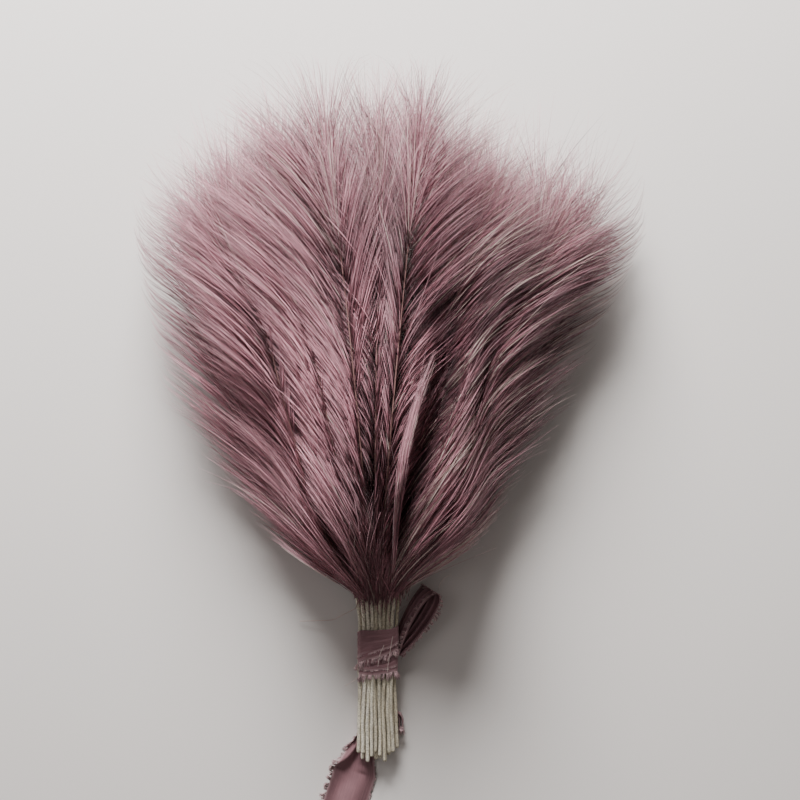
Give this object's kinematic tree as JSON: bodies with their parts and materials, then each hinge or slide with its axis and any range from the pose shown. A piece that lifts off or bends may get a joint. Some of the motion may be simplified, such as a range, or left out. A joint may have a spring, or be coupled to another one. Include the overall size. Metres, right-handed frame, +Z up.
{
  "type": "bundle of pampas grass",
  "caption": "Fan-shaped bunch of dried pampas grass lying flat, its thin bare stems tied together near the cut ends with a torn-edged silk ribbon.",
  "frame": {"origin": "centre of the bottom of the bounding box, on the surface the bunch lies on", "axes": "+Y from the cut stem ends and the ribbon's tail towards the tips of the plumes; +Z up from the surface; +X to the right seen from above"},
  "size_m": [0.3036, 0.5418, 0.0874],
  "materials": {
    "stem": "matt, chalky",
    "plume": "soft fibres with a faint silky sheen",
    "ribbon": "washed silk"
  },
  "bodies": {
    "root": {"stem_01": "stem", "stem_02": "stem", "stem_03": "stem", "stem_04": "stem", "stem_05": "stem", "stem_06": "stem", "stem_07": "stem", "stem_08": "stem", "stem_09": "stem", "stem_10": "stem", "stem_11": "stem", "stem_12": "stem", "stem_13": "stem", "stem_14": "stem", "stem_15": "stem", "stem_16": "stem", "stem_17": "stem", "stem_18": "stem", "stem_19": "stem", "stem_20": "stem", "stem_21": "stem", "stem_22": "stem", "stem_23": "stem", "stem_24": "stem", "stem_25": "stem", "stem_26": "stem", "plume_01": "plume", "plume_02": "plume", "plume_03": "plume", "plume_04": "plume", "plume_05": "plume", "plume_06": "plume", "plume_07": "plume", "plume_08": "plume", "plume_09": "plume", "plume_10": "plume", "plume_11": "plume", "plume_12": "plume", "plume_13": "plume", "plume_14": "plume", "plume_15": "plume", "plume_16": "plume", "plume_17": "plume", "plume_18": "plume", "plume_19": "plume", "plume_20": "plume", "plume_21": "plume", "plume_22": "plume", "plume_23": "plume", "plume_24": "plume", "plume_25": "plume", "plume_26": "plume", "ribbon_band": "ribbon", "ribbon_knot": "ribbon", "ribbon_loop": "ribbon", "ribbon_tail_long": "ribbon", "ribbon_tail_short": "ribbon"}
  },
  "joints": []
}
